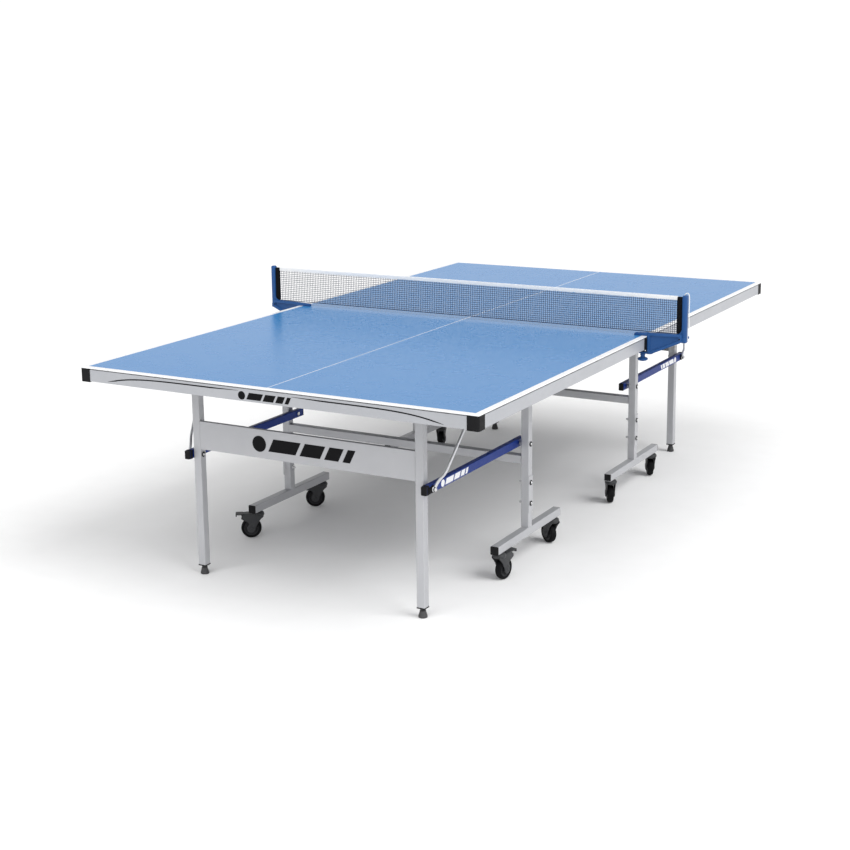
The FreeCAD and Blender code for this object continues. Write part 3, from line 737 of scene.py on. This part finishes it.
def add_casters():
    joints = {joint["name"]: joint for joint in frame["joints"]}
    for corner in sorted(name.removesuffix("_caster") for name in frame["bodies"]
                         if name.endswith("_caster")):
        braked = f"{corner}_pedal" in frame["nodes"]
        kingpin = Vector(joints[f"{corner}_swivel"]["pos_m"])
        axle = Vector(joints[f"{corner}_spin"]["pos_m"])
        trail = Vector((axle.x - kingpin.x, axle.y - kingpin.y, 0)).normalized()
        side = Vector((0, 0, 1)).cross(trail)
        heading = Matrix((trail, side, (0, 0, 1))).transposed().to_4x4()
        on_axle = Matrix.Translation(axle) @ heading @ ALONG_Y @ IN_MM
        tyre = piece(f"{corner}_tyre", placed(tyre_shape(), on_axle), f"{corner}_wheel",
                     "caster_tyre")
        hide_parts(f"{corner}_wheel")
        piece(f"{corner}_wheel_centre", placed(wheel_centre_shape(), on_axle), f"{corner}_wheel",
              "caster_hub")
        foot = Matrix.Translation((kingpin.x, kingpin.y, 0)) @ heading @ IN_MM
        shell = piece(f"{corner}_fork_shell", placed(fork_shape(braked), foot), f"{corner}_caster",
                      "caster_plastic")
        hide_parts(f"{corner}_fork")


# ---------------------------------------------------------------- fasteners
def hex_head(across, height, matrix):
    """A hexagonal head with its outer corners turned away, on z = 0 to height."""
    corner_radius = across / sqrt(3)
    head = bmesh.new()
    bmesh.ops.create_cone(head, cap_ends=True, segments=6, radius1=corner_radius,
                          radius2=corner_radius, depth=height)
    bmesh.ops.translate(head, vec=(0, 0, height / 2), verts=head.verts)
    rounded(head, 0.12 * height, 2)
    return placed(head, matrix)


def bolt_end(matrix, tail):
    """A nut with a few turns of thread standing out of it."""
    pitch = 1.2 * MM
    screw = [(0, 0)]
    for i in range(int(tail / pitch)):
        screw += [(3.9 * MM, i * pitch), (3.4 * MM, (i + 0.5) * pitch)]
    screw += [(3.2 * MM, tail), (0, tail)]
    return joined([hex_head(13 * MM, 4.5 * MM, matrix), lathed(screw, 18, matrix)])


def washer(outer, inner, thick, matrix):
    return lathed([(inner, 0), (outer - 0.4 * thick, 0), (outer, 0.4 * thick),
                   (outer - 0.6 * thick, thick), (inner + 0.6 * thick, 0.85 * thick), (inner, 0)],
                  32, matrix)


def dome(radius, height, matrix):
    """A pressed bolt head with a socket in its crown."""
    socket = 0.42 * radius
    return lathed([(0, 0.45 * height), (socket, 0.45 * height), (socket, 0.95 * height),
                   (0.55 * radius, height), (0.8 * radius, 0.8 * height),
                   (radius, 0.3 * height), (radius, 0), (0, 0)], 28, matrix)


def facing(x, y, z, towards):
    """A frame on a tube's side at a place, its Z pointing along +X or -X."""
    return Matrix.Translation((x, y, z)) @ Matrix.Rotation(towards * pi / 2, 4, "Y")


def add_trolley_bolts():
    """Rings, domed heads and nuts on the pivot of each side bar and on the post splices."""
    outer = POST_X + TUBE / 2
    inner = POST_X - TUBE / 2
    splice_wall = 1.5 * MM
    ring_thick = 3.4 * MM
    head_lift = 2.6 * MM
    gap = 0.2 * MM
    faces = [(LINK_Z, outer)] + [(z, outer + splice_wall) for z in SPLICE_Z]
    for half, turn in HALVES.items():
        rings = []
        bolts = []
        for z, face in faces:
            rings.append(washer(9.5 * MM, 4 * MM, ring_thick, facing(face, -POST_Y, z, 1)))
            bolts.append(dome(4.8 * MM, 2.6 * MM, facing(face + head_lift, -POST_Y, z, 1)))
            if z == LINK_Z:
                spacer = inner - bars_high.x - 2 * gap
                bolts.append(washer(9 * MM, 4 * MM, spacer,
                                    facing(bars_high.x + gap, -POST_Y, z, 1)))
                bolts.append(bolt_end(facing(bar_inner - gap, -POST_Y, z, -1), 4.6 * MM))
            else:
                bolts.append(bolt_end(facing(inner, -POST_Y, z, -1), 13 * MM))
        piece(f"{half}_bolt_rings", placed(both_sides(joined(rings)), turn), f"{half}_trolley",
              "black_plastic")
        made = piece(f"{half}_post_bolts", placed(both_sides(joined(bolts)), turn),
                     f"{half}_trolley", "bolt_steel")
        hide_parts(f"{half}_trolley_bolts")


def add_leg_pivots():
    """Black washers and spacers with bright bolt ends where leg, bar and stay rod meet."""
    inner = LEG_X - TUBE / 2
    outer = LEG_X + TUBE / 2
    inner_ring = 2.4 * MM
    bolt_length = 64 * MM
    for half, turn in HALVES.items():
        rings = [washer(9.5 * MM, 3.8 * MM, inner_ring, facing(inner, -LEG_Y, LINK_Z, -1)),
                 washer(9 * MM, 3.8 * MM, 2.8 * MM, facing(outer, -LEG_Y, LINK_Z, 1)),
                 washer(8.6 * MM, 3.8 * MM, 1.9 * MM, facing(EYE_WASHER_X, -LEG_Y, LINK_Z, 1))]
        shank = lathed([(0, 0), (3.9 * MM, 0), (3.9 * MM, bolt_length), (0, bolt_length)], 20,
                       facing(inner, -LEG_Y, LINK_Z, 1))
        bolts = [dome(5 * MM, 3.5 * MM, facing(inner - inner_ring, -LEG_Y, LINK_Z, -1)),
                 bolt_end(facing(LEG_NUT_X, -LEG_Y, LINK_Z, 1), 6.5 * MM), shank]
        piece(f"{half}_leg_pivot_rings", placed(both_sides(joined(rings)), turn), f"{half}_legs",
              "black_plastic")
        made = piece(f"{half}_leg_pivot_bolts", placed(both_sides(joined(bolts)), turn),
                     f"{half}_legs", "bolt_steel")
        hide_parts(f"{half}_leg_pivots")


def add_bar_guards():
    """Black plates on the side bars' outer ends, between each bar and its stay rod."""
    low_x = bars_high.x + 0.1 * MM
    for half, turn in HALVES.items():
        ring = washer(13.5 * MM, 4.1 * MM, 4.3 * MM, facing(low_x, -LEG_Y, LINK_Z, 1))
        tongue = block((low_x, bars_low.y + 8 * MM, LINK_Z - 12 * MM),
                       (low_x + 4.2 * MM, -LEG_Y - 12 * MM, LINK_Z + 10 * MM), 1.4 * MM, 2)
        wrap = block((bar_inner - 0.6 * MM, bars_low.y + 0.1 * MM, LINK_Z - 15.6 * MM),
                     (low_x + 0.5 * MM, bars_low.y + 15 * MM, LINK_Z + 15.6 * MM), 2 * MM, 2)
        guards = both_sides(joined([ring, tongue, wrap]))
        piece(f"{half}_bar_guards", placed(guards, turn), f"{half}_side_bars", "black_plastic")


def add_stay_rods():
    """Bent round rods from the leg pivots up to rollers under the board."""
    roller_place = (550, -946.5, 722)
    route = [(488.5, -1139.5, 443), (492, -1128, 461), (507, -1107, 481), (512.5, -1088, 510),
             roller_place]
    roller_profile = [(0, -6.5), (5.4, -6.5), (6.6, -6), (7, -5), (7, 5), (6.6, 6), (5.4, 6.5),
                      (0, 6.5)]
    for half, turn in HALVES.items():
        for side, flip in (("right", SAME), ("left", MIRROR_X)):
            bends = [turn @ flip @ Vector(place) for place in route]
            rod = bent_round(f"{half}_{side}_stay_rod", bends, 4.9, 5, 10, "stay_steel")
            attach(rod, f"{half}_stay_rods")
        eye = washer(9.5 * MM, 4.1 * MM, 3.8 * MM, facing(EYE_X, -LEG_Y, LINK_Z, 1))
        roller = lathed(roller_profile, 32, IN_MM @ facing(*roller_place, 1))
        ends = piece(f"{half}_stay_rod_ends", placed(both_sides(joined([eye, roller])), turn),
                     f"{half}_stay_rods", "stay_steel")
        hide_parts(f"{half}_stay_rods")


def add_leg_ends():
    """Plastic plug rims round the foot of each leg."""
    reach = TUBE / 2 + 0.4 * MM
    for half, turn in HALVES.items():
        rim = block((LEG_X - reach, -LEG_Y - reach, legs_low.z - 1 * MM),
                    (LEG_X + reach, -LEG_Y + reach, legs_low.z + 4 * MM), 1.2 * MM, 2)
        piece(f"{half}_leg_end_rims", placed(both_sides(rim), turn), f"{half}_legs",
              "black_plastic")


def add_levellers():
    """Ribbed rubber feet, each with a lock nut on its screw."""
    pad = [(0, 0), (13.2, 0), (14.8, 1), (15, 5), (14, 7), (14.4, 8), (13.2, 10), (13.6, 11),
           (12.4, 13), (12.8, 14), (11.6, 16), (12, 17), (10.8, 19), (10.6, 23), (9.6, 24),
           (5, 24.2)]
    profile = pad + thread(24.6, 24, 5, 4.4) + [(0, 61)]
    nut_z = 26
    for half in HALVES:
        for side in ("right", "left"):
            name = f"{half}_{side}_leveller"
            low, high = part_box(name)
            foot = Matrix.Translation(((low.x + high.x) / 2, (low.y + high.y) / 2, 0)) @ IN_MM
            nut = hex_head(17, 5, Matrix.Translation((0, 0, nut_z)))
            made = piece(f"{name}_foot", placed(joined([lathed(profile, 36), nut]), foot), name,
                         "black_plastic", "foot_rubber")
            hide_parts(name)


# ---------------------------------------------------------------- studio
def add_camera():
    lens = bpy.data.cameras.new("camera")
    lens.sensor_width = 36.0
    lens.lens = 64.36
    lens.shift_x = 0.05
    lens.shift_y = -0.08
    camera = bpy.data.objects.new("camera", lens)
    bpy.context.scene.collection.objects.link(camera)
    place = Matrix.Translation((2.72644, -5.19799, 1.83))
    yaw = Matrix.Rotation(radians(30.8557), 4, "Z")
    pitch = Matrix.Rotation(radians(90 - 11.736), 4, "X")
    roll = Matrix.Rotation(radians(-0.9616), 4, "Z")
    camera.matrix_world = place @ yaw @ pitch @ roll
    bpy.context.scene.camera = camera


def soft_sun(name, place, strength, degrees):
    """A broad distant light that shines from a place towards the middle of the table."""
    light = bpy.data.lights.new(name, "SUN")
    light.energy = strength
    light.angle = radians(degrees)
    lamp = bpy.data.objects.new(name, light)
    aim = -Vector(place)
    lamp.rotation_euler = aim.to_track_quat("-Z", "Y").to_euler()
    bpy.context.scene.collection.objects.link(lamp)


def add_world():
    """Soft even surroundings: white at eye level, dimmer overhead."""
    world = bpy.data.worlds.new("studio")
    world.use_nodes = True
    nodes = world.node_tree.nodes
    links = world.node_tree.links
    direction = nodes.new("ShaderNodeTexCoord").outputs["Generated"]
    axes = nodes.new("ShaderNodeSeparateXYZ")
    links.new(direction, axes.inputs["Vector"])
    fade = nodes.new("ShaderNodeMapRange")
    links.new(axes.outputs["Z"], fade.inputs["Value"])
    fade.inputs["From Min"].default_value = 0.06
    fade.inputs["From Max"].default_value = 0.55
    fade.inputs["To Min"].default_value = 1.05
    fade.inputs["To Max"].default_value = 0.42
    backdrop = nodes["Background"]
    backdrop.inputs["Color"].default_value = (1.0, 1.0, 1.0, 1.0)
    links.new(fade.outputs["Result"], backdrop.inputs["Strength"])
    bpy.context.scene.world = world


def add_studio():
    add_world()
    bpy.context.scene.view_settings.view_transform = "Standard"
    ground = bmesh.new()
    floor_reach = 60.0
    bmesh.ops.create_grid(ground, x_segments=2, y_segments=2, size=floor_reach)
    floor_mesh = mesh_of(ground)
    floor_finish = coated("floor", (0.93, 0.93, 0.93), (0.95, 0.95, 0.95), 0.8, shine=0.2)
    floor_mesh.materials.append(floor_finish.material)
    floor = bpy.data.objects.new("floor", floor_mesh)
    bpy.context.scene.collection.objects.link(floor)
    soft_sun("key", (5.0, -0.5, 5.0), 1.9, 40)
    soft_sun("front", (0.5, -5.0, 5.5), 1.35, 50)


add_camera()
add_net_cord()
paint_frame_nodes()
add_marks()
add_net()
add_net_clamps()
add_casters()
add_trolley_bolts()
add_leg_pivots()
add_bar_guards()
add_stay_rods()
add_leg_ends()
add_levellers()
add_studio()
